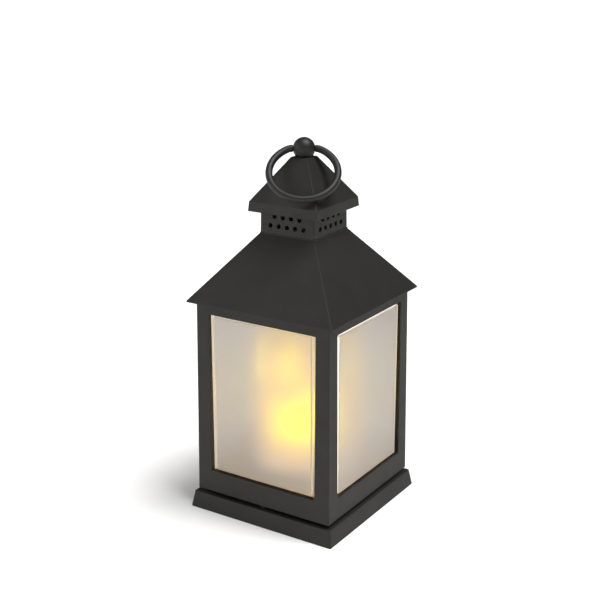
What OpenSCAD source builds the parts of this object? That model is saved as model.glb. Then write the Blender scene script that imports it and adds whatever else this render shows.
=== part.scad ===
// Battery lantern with a flame-effect lamp, in moulded black plastic. A square frame with four frosted
// panes stands on a tapered plinth. Above it sit a hipped roof, a pierced vent collar, a pyramid cap and
// a ball finial that turns on its bolt and carries a ring handle.
// Millimetres, +Z up. The origin is the centre of the foot, on the surface that the lantern stands on.
// The front is -Y.

/* [Body frame] */
// Width of the frame across its foot
body_w = 97.5; // [90:0.1:106]
// Inward draft of each wall, from foot to top
body_draft = 1.2; // [0.2:0.1:1.6]
// Thickness of the walls at the foot
body_wall = 3.5; // [3:0.1:4.2]
// Radius of the upright edges
body_edge_r = 0.6; // [0.4:0.1:2]
// Width of the stiles beside each window
stile_w = 10.45; // [9.6:0.05:12]
// Height of each window
window_h = 103.6; // [80:0.1:125]
// Height of the rail above each window
top_rail = 8.1; // [7:0.1:12]
// Thickness of the flange inside the top of the frame
top_flange_t = 2; // [1.6:0.1:2.8]
// Width of the opening in the top flange
top_opening_w = 76; // [66:0.5:80]
// Radius of the screw bosses in the frame's foot and of those under the roof
boss_r = 4.3; // [3.6:0.1:4.6]
// Overlap of a foot boss with the lips beside it
boss_bite = 0.2; // [0.1:0.05:0.4]

/* [Panes] */
// Thickness of a pane's flange
pane_t = 1; // [0.8:0.1:1.4]
// Lap of the flange behind the window's edge
pane_lap = 3; // [2.4:0.1:3.4]
// How far the raised centre stands into the window
pane_step = 2.2; // [0.8:0.1:2.4]
// Width of the flange seen beside the raised centre
pane_side_margin = 3; // [1:0.1:4]
// Height of the flange seen above and below the raised centre
pane_end_margin = 1.2; // [0.6:0.1:2.5]
// Bevel along the front edges of the raised centre
pane_bevel = 0.3; // [0.2:0.05:0.5]
// Thickness of the lips that hold a pane in its groove
lip_t = 1.2; // [0.8:0.1:1.6]
// Lap of a lip over the pane's flange
lip_lap = 2.1; // [1.5:0.1:2.3]

/* [Plinth] */
// Height of the tapered plinth
base_h = 10.7; // [9:0.1:14]
// Ledge of the plinth's top edge outside the frame
base_ledge = 1.9; // [0.8:0.05:4]
// Outward flare of each plinth side, from top to foot
base_flare = 1.85; // [1:0.05:5]
// Thickness of the plinth's skirt
base_wall = 2; // [1.6:0.1:3]
// Thickness of the plinth's top plate
base_plate_t = 2; // [1.6:0.1:2.6]
// Radius of the plinth's corners
base_edge_r = 1; // [0.6:0.1:3]
// Height of the recessed neck, seen as the shadow gap
neck_h = 1.9; // [1.2:0.1:3]
// Inset of the neck from the frame's face
neck_inset = 3.6; // [2.8:0.1:4.4]
// Radius of the neck's corners
neck_r = 6; // [3:0.5:7]
// Width of the tab that centres the frame on each side of the neck
tab_w = 3; // [2:0.1:6]
// Inset of a tab from the frame's face
tab_inset = 1.2; // [0.6:0.1:2]
// Thickness of the stiffening ribs under the plinth
rib_t = 1.2; // [0.8:0.1:2]
// Height of the ribs' lower edge above the ground
rib_lift = 4; // [2:0.1:6]

/* [Batteries] */
// Diameter of a cell
cell_d = 10.5; // [10:0.1:12]
// Length of a cell with its nub
cell_l = 44.5; // [40:0.1:50]
// Diameter of the positive nub
nub_d = 3.8; // [3:0.1:5]
// Length of the positive nub
nub_l = 1; // [0.6:0.1:1.6]
// Gap between neighbouring cells
cell_gap = 0.6; // [0.4:0.1:1.5]
// Clearance above and below the cells
cell_room = 0.4; // [0.2:0.1:0.9]
// Thickness of the contact strip
contact_t = 0.4; // [0.2:0.1:0.8]
// Width of a contact
contact_w = 8; // [6:0.5:9.5]
// Height of a negative contact's spring arch
leaf_h = 3; // [2:0.1:4]
// Width of a spring arch
leaf_w = 5; // [3:0.5:7]
// Thickness of the battery bay's walls
bay_wall = 2.4; // [2:0.1:3.2]
// Thickness of the bay's roof
bay_roof_t = 1.6; // [1.2:0.1:2.4]
// Thickness of the ribs between the cells
bay_rib_t = 0.8; // [0.6:0.1:1.2]

/* [Battery door] */
// Thickness of the door
door_t = 1.8; // [1.4:0.1:2.4]
// Height of the door's face above the ground
door_lift = 2; // [1.2:0.1:3]
// Depth of the rebate that the door's edge lies in
door_rebate = 1.2; // [0.8:0.1:1.5]
// Width of a hinge tongue
tongue_w = 6; // [4:0.5:8]
// Thickness of a hinge tongue
tongue_t = 0.8; // [0.6:0.1:0.9]
// Height of a tongue's lower face above the door's face
tongue_lift = 0.7; // [0.6:0.05:0.8]
// Reach of a tongue past the hinge line
tongue_reach = 1.8; // [1.4:0.1:2.4]
// Distance of a tongue from the middle
tongue_x = 10; // [7:0.5:12]
// Width of the spring latch
latch_w = 12; // [8:0.5:18]
// Length of the spring latch
latch_l = 10; // [6:0.5:16]
// Width of the slits beside the latch
slit_w = 1; // [0.8:0.1:1.5]

/* [Switch] */
// Length of the switch's metal can
can_l = 12; // [11.5:0.1:16]
// Width of the can
can_w = 6.4; // [5.6:0.1:8]
// Height of the can
can_h = 5; // [4:0.1:5.4]
// Thickness of the can
can_wall = 0.5; // [0.3:0.1:0.6]
// Length of the knob along its travel
knob_l = 4; // [3:0.1:4.4]
// Width of the knob
knob_w = 3; // [2:0.1:3.4]
// Travel of the knob
knob_travel = 4; // [2:0.1:4.3]
// How far the knob stands below its pocket
knob_proud = 1.2; // [0.6:0.1:2]
// Thickness of the carriage inside the can
carriage_t = 2; // [1.2:0.1:2.6]
// Distance of the switch from the middle
switch_x = 30; // [29:0.5:32]
// Height of the switch pocket's lower face above the ground
pocket_lift = 3.6; // [3:0.1:4.5]
// Thickness of the pocket's floor
pocket_floor = 1.4; // [1:0.1:2]
// Thickness of the pocket's walls
pocket_wall = 1.6; // [1.2:0.1:2.2]
// Diameter of a switch lead
lead_d = 0.8; // [0.5:0.1:1.2]
// Spacing of the switch leads
lead_pitch = 3; // [2:0.1:4]

/* [Electronics] */
// Thickness of the control board
board_t = 1.2; // [0.8:0.1:1.8]
// Length of the board from front to back
board_l = 26; // [22:0.5:34]
// Margin of the board past the switch leads and past the bay's pegs
board_margin = 4; // [2.5:0.1:6]
// Diameter of the pegs that hold the board
peg_d = 2.4; // [1.6:0.1:3.2]
// Height of a peg above the board
peg_proud = 0.8; // [0.4:0.1:1.5]
// Distance of the pegs to the left of the middle
peg_x = 13; // [11:0.5:15]
// Distance of each peg in front of the middle or behind it
peg_y = 8; // [5:0.5:9]
// Diameter of the controller's sealing drop
chip_d = 7; // [5:0.5:10]
// Height of the sealing drop
chip_h = 1.6; // [1:0.1:2.4]
// Distance of the controller to the right of the middle
chip_x = 20; // [18:0.5:24]
// Distance of the controller behind the middle
chip_y = -6; // [-8:0.5:-4]

/* [Lamp] */
// Room between the board and the lamp deck
deck_room = 4; // [3.6:0.1:8]
// Thickness of the lamp deck
deck_t = 2; // [1.4:0.1:3]
// Thickness of the deck's leg walls
deck_leg_t = 1.4; // [1:0.1:2.2]
// Length of the leg walls
deck_leg_l = 60; // [40:1:64]
// Inset of the leg walls from the neck's edge
deck_leg_inset = 4; // [3:0.1:5]
// Thickness of the socket's disc
socket_t = 3; // [2.4:0.1:5]
// Height of the socket's rim
socket_rim_h = 2.5; // [1.5:0.1:4]
// Thickness of the rim
socket_rim_t = 2; // [1.2:0.1:3]
// Thickness of the flame diffuser
flame_wall = 1.2; // [0.8:0.1:2]
// Gap between the lights and the diffuser's wall
flame_gap = 5; // [2:0.1:8]
// Room between the light tube and the diffuser's top
flame_room = 8; // [4:0.1:14]
// Radius of the diffuser's top edge
flame_edge_r = 7; // [3:0.1:10]
// Width of the light tube across its flats
tube_flats = 44; // [36:0.5:48]
// Number of the light tube's flats
tube_sides = 12; // [8:1:14]
// Thickness of the light tube
tube_wall = 0.8; // [0.6:0.1:1.4]
// Height of the light tube
tube_h = 78; // [60:0.5:84]
// Width of the light tube's tail
tail_w = 3; // [2:0.1:4]
// Width of one light
led_w = 2.8; // [2:0.1:4]
// Height of one light
led_h = 3.5; // [2:0.1:5]
// Thickness of one light
led_t = 0.9; // [0.6:0.1:1.4]
// Number of lights in each upright row
led_rows = 8; // [4:1:10]
// Distance of the lamp screws from the middle
lamp_screw_x = 12.5; // [9:0.1:14]

/* [Roof] */
// Overhang of the eave outside the frame's top
eave_overhang = 4.45; // [3:0.05:8]
// Height of the eave's upright edge
eave_t = 0.9; // [0.6:0.1:2]
// Draft of the eave's upright edge
eave_draft = 0.1; // [0.05:0.05:0.3]
// Rise of the roof above the eave's edge
roof_rise = 39.8; // [34:0.1:50]
// Thickness of the roof, measured level
roof_wall = 2.3; // [1.8:0.1:3]
// Radius of the eave's corners
roof_edge_r = 0.6; // [0.4:0.1:2.5]
// How far the eave hangs below the frame's top
roof_tuck = 1.3; // [0.8:0.1:3]

/* [Vent collar] */
// Width of the collar at its foot
collar_w = 38.4; // [34:0.1:42]
// Inward draft of each collar wall
collar_draft = 0.3; // [0.1:0.05:0.6]
// Height of the collar above the roof
collar_h = 21.2; // [19:0.1:28]
// Thickness of the collar's walls at the top
collar_wall = 1.8; // [1.2:0.1:2.2]
// Thickness of the collar's top plate
collar_plate_t = 2; // [1.4:0.1:3]
// Radius of the collar's corners
collar_edge_r = 0.6; // [0.4:0.1:1.5]
// Reach of the foot flange
collar_flange = 0.4; // [0.2:0.05:1]
// Height of the foot flange
collar_flange_h = 0.8; // [0.5:0.1:1.5]
// Length of the spigot that goes down through the roof
spigot_l = 5.5; // [4.5:0.1:8]
// Inset of the spigot from the collar's face
spigot_inset = 0.8; // [0.5:0.1:0.9]
// Width of a snap lug on the spigot
lug_w = 8; // [5:0.5:14]
// Reach of a snap lug
lug_reach = 1.2; // [0.6:0.1:1.6]
// Diameter of a vent hole
vent_d = 2.9; // [2:0.1:3.4]
// Spacing of the vent holes along a row
vent_pitch = 5.9; // [4.6:0.1:6.4]
// Number of holes in the lower row
vent_count = 5; // [3:1:5]
// Height of the lower row above the roof
vent_lift = 5.85; // [4:0.05:7]
// Height of the upper row above the lower one
vent_rise = 5.8; // [4:0.1:7]

/* [Cap] */
// How far the cap's skirt hangs below the collar's top
cap_drop = 7.1; // [7:0.1:10]
// Overhang of the skirt's lower edge outside the collar
cap_overhang = 5.35; // [4.5:0.05:8]
// Outward flare of the skirt, from top to bottom
cap_flare = 0.5; // [0.2:0.1:1]
// Height of the skirt
cap_skirt_h = 5.9; // [5.5:0.1:7]
// Rise of the pyramid above the skirt
cap_rise = 26.1; // [24:0.1:32]
// Thickness of the cap, measured level
cap_wall = 2; // [1.5:0.1:2.5]
// Thickness of the cap's flat top
cap_top_t = 2.5; // [1.5:0.1:4]
// Radius of the skirt's corners
cap_edge_r = 0.8; // [0.6:0.1:3]
// Margin of the flat top around the finial
cap_top_margin = 0.4; // [0.2:0.1:1.5]
// Radius of the boss around the bolt
cap_boss_r = 4; // [3:0.1:4.6]
// Thickness of the seat ribs
cap_rib_t = 1.4; // [1:0.1:2]

/* [Finial] */
// Diameter of the ball
ball_d = 13.6; // [12:0.1:15]
// Height of the ball's centre above the cap
ball_lift = 4.7; // [4.2:0.1:5.4]
// Diameter of the bolt
bolt_d = 3; // [2.5:0.1:3.5]
// Diameter of the bolt's head
bolt_head_d = 5.6; // [5:0.1:6.5]
// Height of the bolt's head
bolt_head_h = 2; // [1.4:0.1:3]
// How far the bolt reaches above the ball's foot
bolt_grip = 5.5; // [4:0.1:7]
// Diameter of the washer
washer_d = 7; // [6.6:0.1:10]
// Thickness of the washer
washer_t = 0.6; // [0.4:0.1:1.2]

/* [Ring handle] */
// Radius of the ring's centre line
ring_r = 20.4; // [19.5:0.1:22]
// Diameter of the ring's rod
ring_d = 4; // [3:0.1:4.4]
// Extra radius of the rounded knuckle at each end
knuckle_bead = 0.1; // [0.05:0.05:0.2]
// Length of the straight end outside the ball
ring_end_l = 1.6; // [1:0.1:2.4]
// Diameter of the pins in the ball
pin_d = 2.6; // [2:0.1:2.8]
// Length of a pin inside the ball
pin_l = 3.4; // [2.5:0.1:3.8]
// Lean of the ring from hanging straight down, where it lies on the cap
ring_lean = 51.5; // [51:0.5:56]
// Turn of the finial from facing the front
ring_turn = 31.3; // [0:0.1:90]

/* [Screws] */
// Diameter of the self-tapping screws
screw_d = 2.8; // [2.2:0.1:3.2]
// Diameter of the screw heads
screw_head_d = 5.6; // [4.8:0.1:6]
// Height of the screw heads
screw_head_h = 1.8; // [1.2:0.1:2.4]
// Depth of thread in a boss
screw_grip = 7.2; // [6:0.1:7.6]
// Depth of the head's seat inside the plinth's bosses
screw_recess = 4; // [3:0.1:5]
// Extra depth of the hole past a screw's tip
screw_tip_room = 0.8; // [0.4:0.1:1]

/* [Fits] */
// Gap around pieces that drop in or move past each other
fit_gap = 0.3; // [0.2:0.05:0.4]
// Clearance on each side of a pane in its groove
pane_clear = 0.1; // [0.05:0.05:0.25]
// Radial clearance of the turning bolt and pins
turn_clear = 0.06; // [0.03:0.01:0.09]
// Radial allowance at screw threads
thread_clear = 0.05; // [0.02:0.01:0.1]
// Radial clearance of a screw in a plain hole
screw_clear = 0.2; // [0.1:0.05:0.4]
// Gap between a contact and its cell
touch_gap = 0.05; // [0.02:0.01:0.1]

/* [Hidden] */

// Cutting tools run past the faces that they cut by this much
past = 1;
// Segments on the round corners of tapered walls, and on round pieces
corner_fn = 24;
$fn = 64;
black = "#3a3937";
dark = "#2c2c2b";
pane_grey = "#d8d4ca";
steel = "#b9bcbf";
brassy = "#c9b27a";
board_green = "#2f6b45";
light_white = "#f3efe2";
warm = "#ffd46a";
cell_grey = "#7d8288";

corners = [for (x = [-1, 1], y = [-1, 1]) [x, y]];

// Heights of the stack inside the foot
body_z = base_h + neck_h;
cell_z = door_lift + door_t + cell_room + cell_d / 2;
bay_ceiling = cell_z + cell_d / 2 + cell_room;
bay_top = bay_ceiling + bay_roof_t;
board_top = bay_top + board_t;
deck_z = board_top + deck_room;
deck_top = deck_z + deck_t;
pane_z = deck_top;
sill_z = pane_z + pane_lap;
window_top = sill_z + window_h;
body_top = window_top + top_rail;
body_h = body_top - body_z;

// Heights of the roof stack
eave_z = body_top - roof_tuck;
slope_z = eave_z + eave_t;
roof_top = slope_z + roof_rise;
collar_top = roof_top + collar_h;
cap_z = collar_top - cap_drop;
cap_slope_z = cap_z + cap_skirt_h;
cap_top = cap_slope_z + cap_rise;
ball_foot = cap_top + fit_gap;
ball_z = cap_top + ball_lift;

// Body frame in plan
inner_half = body_w / 2 - body_wall;
window_half = body_w / 2 - stile_w;
pane_half = window_half + pane_lap;
post_half = pane_half + fit_gap;
lip_out = inner_half - pane_t - 2 * pane_clear;
lip_in = lip_out - lip_t;
lip_start = pane_half - lip_lap;
boss_half = lip_in - boss_r + boss_bite;
web_t = boss_r / 2;
roof_boss_half = post_half - (screw_head_d / 2 + fit_gap) / sqrt(2);

// Plinth in plan
base_top_w = body_w + 2 * base_ledge;
base_w = base_top_w + 2 * base_flare;
cavity_h = base_h - base_plate_t;
cavity_top_w = base_w - 2 * base_flare * cavity_h / base_h - 2 * base_wall;
neck_half = body_w / 2 - neck_inset;
tab_start = neck_half - base_wall;
tab_end = body_w / 2 - tab_inset;
tab_h = neck_h + base_plate_t / 2;
screw_seat = door_lift + screw_recess;
screw_hole = screw_grip + screw_tip_room;

// Battery bay in plan
cell_pitch = cell_d + cell_gap;
bay_w = 3 * cell_pitch + cell_gap;
bay_l = cell_l + 2 * contact_t + leaf_h + 2 * touch_gap;
hinge_y = -bay_l / 2 - door_rebate;
tongue_z = door_lift + tongue_lift;
tongue_room = tongue_reach + fit_gap + door_rebate + past;
door_w = bay_w + 2 * (door_rebate - fit_gap);
door_l = bay_l + 2 * (door_rebate - fit_gap);
bay_rib_h = cell_d / 4;

// Switch
pocket_z = pocket_lift + pocket_floor;
can_top = pocket_z + can_h;
knob_y = knob_travel / 2;
carriage_l = can_l - 2 * can_wall - knob_travel - 2 * fit_gap;
carriage_w = can_w - 2 * can_wall - 2 * fit_gap;
carriage_z = pocket_z + can_wall + fit_gap;
slot_l = knob_l + knob_travel + 2 * fit_gap;
slot_w = knob_w + 2 * fit_gap;
board_left = -peg_x - board_margin;
board_right = switch_x + board_margin;

// Lamp
socket_top = deck_top + socket_t;
led_pitch = tube_h / led_rows;
tail_x = tube_flats / 2 - tube_wall;
flame_r = tube_flats / 2 + led_t + flame_gap + flame_wall;
flame_top = socket_top + tube_h + flame_room + flame_wall;
socket_r = flame_r + fit_gap + socket_rim_t;

// Roof, collar and cap in plan
eave_w = body_w - 2 * body_draft + 2 * eave_overhang;
slope_w = eave_w - 2 * eave_draft;
roof_top_w = collar_w + 2 * collar_flange;
roof_fall = 2 * roof_rise / (slope_w - roof_top_w);
collar_top_w = collar_w - 2 * collar_draft;
collar_inner_w = collar_top_w - 2 * collar_wall;
spigot_w = collar_w - 2 * spigot_inset;
cap_w = collar_w + 2 * cap_overhang;
cap_slope_w = cap_w - 2 * cap_flare;
ball_foot_r = sqrt(pow(ball_d / 2, 2) - pow(ball_z - ball_foot, 2));
cap_top_w = 2 * (ball_foot_r + cap_top_margin);

// Ball and ring
spot_r = ring_d / 2 + fit_gap;
spot_x = sqrt(pow(ball_d / 2, 2) - pow(spot_r, 2));
ring_end_x = spot_x + fit_gap;
knuckle_x = ring_end_x + ring_end_l;
ring_drop = sqrt(pow(ring_r, 2) - pow(knuckle_x, 2));
ring_gap_angle = asin(knuckle_x / ring_r);

// Square of width w with corner radius r, centred
module rounded_square(w, r) {
    square([w, w - 2 * r], center = true);
    square([w - 2 * r, w], center = true);
    for (c = corners) translate((w / 2 - r) * c) circle(r);
}

// Square frustum from width w0 up to w1, with corners that shrink in proportion
module frustum(w0, w1, h, r) {
    linear_extrude(h, scale = w1 / w0) rounded_square(w0, r, $fn = corner_fn);
}

// Upright prism with a rounded square plan, from z0 to z1
module prism(w, r, z0, z1) {
    translate([0, 0, z0]) linear_extrude(z1 - z0) rounded_square(w, r);
}

// Box centred on x and y, from z0 to z1
module block(x, y, z0, z1) {
    translate([-x / 2, -y / 2, z0]) cube([x, y, z1 - z0]);
}

// Upright rod of radius r, from z0 to z1
module rod(r, z0, z1) {
    translate([0, 0, z0]) cylinder(h = z1 - z0, r = r);
}

// Round bar of radius r along x, from x0 to x1
module bar(r, x0, x1) {
    translate([x0, 0, 0]) rotate([0, 90, 0]) cylinder(h = x1 - x0, r = r);
}

// Copies at the four corners of a square of half width half
module at_corners(half) {
    for (c = corners) translate(half * c) children();
}

// Copies on the four sides
module on_sides() {
    for (a = [0:90:270]) rotate(a) children();
}

// Pan-head screw whose head bears upwards at height seat
module screw(seat, tip) {
    rod(screw_head_d / 2, seat - screw_head_h, seat);
    rod(screw_d / 2, seat - screw_head_h, tip);
}

// Plinth: a tapered skirt with a recessed neck on top, hollow from below
module plinth_shell() {
    difference() {
        union() {
            frustum(base_w, base_top_w, base_h, base_edge_r);
            prism(2 * neck_half, neck_r, cavity_h, body_z);
        }
        frustum(base_w - 2 * base_wall, cavity_top_w, cavity_h, base_edge_r);
        prism(2 * (neck_half - base_wall), neck_r - base_wall, cavity_h - past, body_z - base_plate_t);
    }
}

// Ribs that tie the battery bay to the skirt, kept inside the plinth's outline
module plinth_ribs() {
    intersection() {
        frustum(base_w, base_top_w, base_h, base_edge_r);
        difference() {
            for (s = [-1, 1]) {
                translate([s * bay_w / 2, 0, 0]) block(rib_t, base_w, rib_lift, base_h - rib_t);
                translate([0, s * bay_l / 4, 0]) block(base_w, rib_t, rib_lift, base_h - rib_t);
            }
            block(bay_w + bay_wall, bay_l + bay_wall, 0, base_h);
        }
    }
}

module switch_pocket() {
    translate([switch_x, 0, 0])
        block(can_w + 2 * (fit_gap + pocket_wall), can_l + 2 * (fit_gap + pocket_wall), pocket_lift, body_z);
}

module base_plinth() color(black) {
    difference() {
        union() {
            plinth_shell();
            plinth_ribs();
            switch_pocket();
            on_sides() translate([-tab_w / 2, tab_start, body_z - tab_h])
                cube([tab_w, tab_end - tab_start, tab_h]);
            block(bay_w + 2 * bay_wall, bay_l + 2 * bay_wall, door_lift, bay_top);
            at_corners(boss_half) rod(boss_r, door_lift, body_z);
            for (y = [-peg_y, peg_y]) translate([-peg_x, y, 0])
                rod(peg_d / 2, bay_ceiling, board_top + peg_proud);
        }
        block(bay_w, bay_l, 0, bay_ceiling);
        block(bay_w + 2 * door_rebate, bay_l + 2 * door_rebate, 0, door_lift + door_t + fit_gap);
        for (x = [-tongue_x, tongue_x])
            translate([x - tongue_w / 2 - fit_gap, hinge_y - tongue_reach - fit_gap, tongue_z - fit_gap])
                cube([tongue_w + 2 * fit_gap, tongue_room, tongue_t + tongue_reach]);
        at_corners(boss_half) {
            rod(screw_d / 2 + screw_clear, 0, body_z + past);
            rod(screw_head_d / 2 + fit_gap, 0, screw_seat);
        }
        translate([switch_x, 0, 0]) {
            block(can_w + 2 * fit_gap, can_l + 2 * fit_gap, pocket_z, body_z + past);
            block(slot_w, slot_l, 0, body_z);
        }
    }
    for (x = [-cell_pitch / 2, cell_pitch / 2]) translate([x, 0, 0])
        block(bay_rib_t, bay_l, bay_ceiling - bay_rib_h, bay_ceiling);
}

// Door in the bay's rebate, with two tongues behind the hinge line and a latch cut free by two slits
module battery_door() color(black) {
    difference() {
        block(door_w, door_l, door_lift, door_lift + door_t);
        for (s = [-1, 1]) translate([s * (latch_w + slit_w) / 2, door_l / 2, 0])
            block(slit_w, 2 * latch_l, 0, door_lift + door_t + past);
    }
    for (x = [-tongue_x, tongue_x]) translate([x - tongue_w / 2, hinge_y - tongue_reach, tongue_z])
        cube([tongue_w, tongue_reach + door_rebate, tongue_t]);
}

// Which way cell k points: neighbours alternate
function cell_way(k) = k % 2 == 1 ? 1 : -1;

// Places children in cell k's own frame: +Y towards its positive end, on the cell's axis
module in_cell(k) {
    translate([(k - 2) * cell_pitch, 0, cell_z]) rotate(cell_way(k) > 0 ? 0 : 180) children();
}

// Round bar along y, from y0 to y1
module bar_y(r, y0, y1) {
    translate([0, y0, 0]) rotate([-90, 0, 0]) cylinder(h = y1 - y0, r = r);
}

module battery_cell(k) color(cell_grey) in_cell(k) {
    tip = bay_l / 2 - contact_t - touch_gap;
    bar_y(cell_d / 2, tip - cell_l, tip - nub_l);
    bar_y(nub_d / 2, tip - nub_l, tip);
}

module positive_contacts() color(brassy) for (k = [1:3]) in_cell(k)
    translate([-contact_w / 2, bay_l / 2 - contact_t, -contact_w / 2])
        cube([contact_w, contact_t, contact_w]);

// Plates with a sprung arch that presses on the cell's flat end
module negative_contacts() color(brassy) for (k = [1:3]) in_cell(k) translate([0, -bay_l / 2, 0]) {
    translate([-contact_w / 2, 0, -contact_w / 2]) cube([contact_w, contact_t, contact_w]);
    translate([0, contact_t, 0]) intersection() {
        difference() {
            bar(leaf_h, -leaf_w / 2, leaf_w / 2);
            bar(leaf_h - contact_t, -leaf_w, leaf_w);
        }
        translate([-leaf_w, -contact_t / 2, -2 * leaf_h]) cube([2 * leaf_w, 2 * leaf_h, 4 * leaf_h]);
    }
}

// Switch: a folded metal can, open to the knob's slot below
module switch_housing() color(steel) translate([switch_x, 0, 0]) difference() {
    block(can_w, can_l, pocket_z, can_top);
    block(can_w - 2 * can_wall, can_l - 2 * can_wall, pocket_z + can_wall, can_top - can_wall);
    block(slot_w, slot_l, pocket_z - past, pocket_z + 2 * can_wall);
}

// Carriage inside the can, with the knob that a finger moves. It rests in the on position
module switch_slider() color(dark) translate([switch_x, knob_y, 0]) {
    block(carriage_w, carriage_l, carriage_z, carriage_z + carriage_t);
    block(knob_w, knob_l, pocket_lift - knob_proud, carriage_z + carriage_t / 2);
}

module switch_leads() color(steel)
    for (k = [-1:1]) translate([switch_x, k * lead_pitch, 0]) rod(lead_d / 2, can_top, bay_top);

module control_board() color(board_green) difference() {
    translate([board_left, -board_l / 2, bay_top]) cube([board_right - board_left, board_l, board_t]);
    for (y = [-peg_y, peg_y]) translate([-peg_x, y, 0])
        rod(peg_d / 2 + pane_clear, bay_top - past, board_top + past);
}

// Drop of sealing resin over the controller: a slice of a sphere
module controller_chip() color(dark) {
    drop_r = (pow(chip_d / 2, 2) + pow(chip_h, 2)) / (2 * chip_h);
    translate([chip_x, chip_y, board_top]) intersection() {
        translate([0, 0, chip_h - drop_r]) sphere(drop_r);
        block(2 * chip_d, 2 * chip_d, 0, 2 * chip_h);
    }
}

module base_screws() color(steel) at_corners(boss_half) screw(screw_seat, body_z + screw_grip);

// Corner post with the two lips that hold the edges of the panes beside it
module corner_post() {
    translate([post_half, post_half]) square(inner_half + past - post_half);
    for (m = [0, 1]) mirror([m, -m])
        translate([lip_start, lip_in]) square([inner_half + past - lip_start, lip_t]);
}

// Frame: drafted walls with four windows, posts in the corners, bosses at the foot and a flange at the top
module body_frame() color(black) difference() {
    union() {
        difference() {
            translate([0, 0, body_z]) frustum(body_w, body_w - 2 * body_draft, body_h, body_edge_r);
            block(2 * inner_half, 2 * inner_half, body_z - past, body_top - top_flange_t);
            for (a = [0, 90]) rotate(a) block(2 * window_half, 2 * body_w, sill_z, window_top);
            linear_extrude(body_top + past) intersection() {
                square(top_opening_w, center = true);
                rotate(45) square(2 * roof_boss_half, center = true);
            }
        }
        translate([0, 0, body_z]) linear_extrude(body_h - top_flange_t) on_sides() corner_post();
        at_corners(boss_half) rod(boss_r, body_z, deck_z - fit_gap);
        on_sides() translate([boss_half, boss_half, body_z]) rotate(45) translate([0, -web_t / 2, 0])
            cube([sqrt(2) * (inner_half - boss_half), web_t, deck_z - fit_gap - body_z]);
    }
    at_corners(boss_half) rod(screw_d / 2 + thread_clear, body_z - past, body_z + screw_hole);
    at_corners(roof_boss_half) rod(screw_d / 2 + screw_clear, window_top, body_top + past);
}

// Pane on the front side: a flange in the grooves and a raised centre with bevelled edges in the window
module pane() color(pane_grey) {
    centre = [2 * (window_half - pane_side_margin), window_h - 2 * pane_end_margin];
    face = inner_half - pane_clear;
    straight = pane_step - pane_bevel;
    translate([-pane_half, -face, pane_z]) cube([2 * pane_half, pane_t, window_h + 2 * pane_lap]);
    translate([0, -face, sill_z + window_h / 2]) rotate([90, 0, 0]) {
        linear_extrude(straight) square(centre, center = true);
        translate([0, 0, straight])
            linear_extrude(pane_bevel, scale = [for (side = centre) 1 - 2 * pane_bevel / side], slices = 1)
                square(centre, center = true);
    }
}

module pane_front() pane();
module pane_right() rotate(90) pane();
module pane_back() rotate(180) pane();
module pane_left() rotate(270) pane();

// Deck: a cross-shaped plate under the panes, on leg walls that stand on the plinth
module lamp_deck() color(light_white) difference() {
    union() {
        for (a = [0, 90]) rotate(a)
            block(2 * (lip_start - fit_gap), 2 * (inner_half - fit_gap), deck_z, deck_top);
        on_sides() translate([0, neck_half - deck_leg_inset, 0])
            block(deck_leg_l, deck_leg_t, body_z, deck_z);
    }
    tail_slot();
    for (x = [-lamp_screw_x, lamp_screw_x]) translate([x, 0, 0])
        rod(screw_d / 2 + screw_clear, deck_z - past, deck_top + past);
}

// Slot that the light tube's tail goes down through
module tail_slot() {
    translate([tail_x + tube_wall / 2, 0, 0])
        block(tube_wall + 2 * fit_gap, tail_w + 2 * fit_gap, deck_z - past, socket_top + past);
}

// Socket: a disc with a rim that the diffuser's foot stands in
module flame_socket() color(light_white) difference() {
    rod(socket_r, deck_top, socket_top + socket_rim_h);
    rod(socket_r - socket_rim_t, socket_top, socket_top + socket_rim_h + past);
    tail_slot();
    for (x = [-lamp_screw_x, lamp_screw_x]) translate([x, 0, 0])
        rod(screw_d / 2 + thread_clear, deck_top - past, socket_top + past);
}

// Outline of the light tube, with a flat that faces +X
module many_sided(flats) {
    rotate(180 / tube_sides) circle(d = flats / cos(180 / tube_sides), $fn = tube_sides);
}

// Light tube: a board folded into flats, with a tail down to the control board
module led_tube() color(light_white) {
    translate([0, 0, socket_top]) linear_extrude(tube_h) difference() {
        many_sided(tube_flats);
        many_sided(tube_flats - 2 * tube_wall);
    }
    translate([tail_x, -tail_w / 2, board_top]) cube([tube_wall, tail_w, socket_top + past - board_top]);
}

module leds() color(warm)
    for (side = [1:tube_sides], k = [0:led_rows - 1]) rotate(side * 360 / tube_sides)
        translate([tube_flats / 2, -led_w / 2, socket_top + (k + 0.5) * led_pitch - led_h / 2])
            cube([led_t, led_w, led_h]);

// Solid of the diffuser's outline: a cylinder with a round top edge
module round_topped(r, edge_r, z0, z1) {
    translate([0, 0, z0]) rotate_extrude() {
        square([r, z1 - z0 - edge_r]);
        square([r - edge_r, z1 - z0]);
        translate([r - edge_r, z1 - z0 - edge_r]) circle(edge_r);
    }
}

module flame_diffuser() color(warm) difference() {
    round_topped(flame_r, flame_edge_r, socket_top, flame_top);
    round_topped(flame_r - flame_wall, flame_edge_r - flame_wall, socket_top - past, flame_top - flame_wall);
}

module module_screws() color(steel)
    for (x = [-lamp_screw_x, lamp_screw_x]) translate([x, 0, 0]) screw(deck_z, socket_top);

// The roof's slope from z0 to z1 with sharp hips, drawn in by inset all round
module roof_slope(inset, z0, z1) {
    w0 = slope_w - 2 * inset - 2 * (z0 - slope_z) / roof_fall;
    w1 = slope_w - 2 * inset - 2 * (z1 - slope_z) / roof_fall;
    translate([0, 0, z0]) linear_extrude(z1 - z0, scale = w1 / w0) square(w0, center = true);
}

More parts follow.
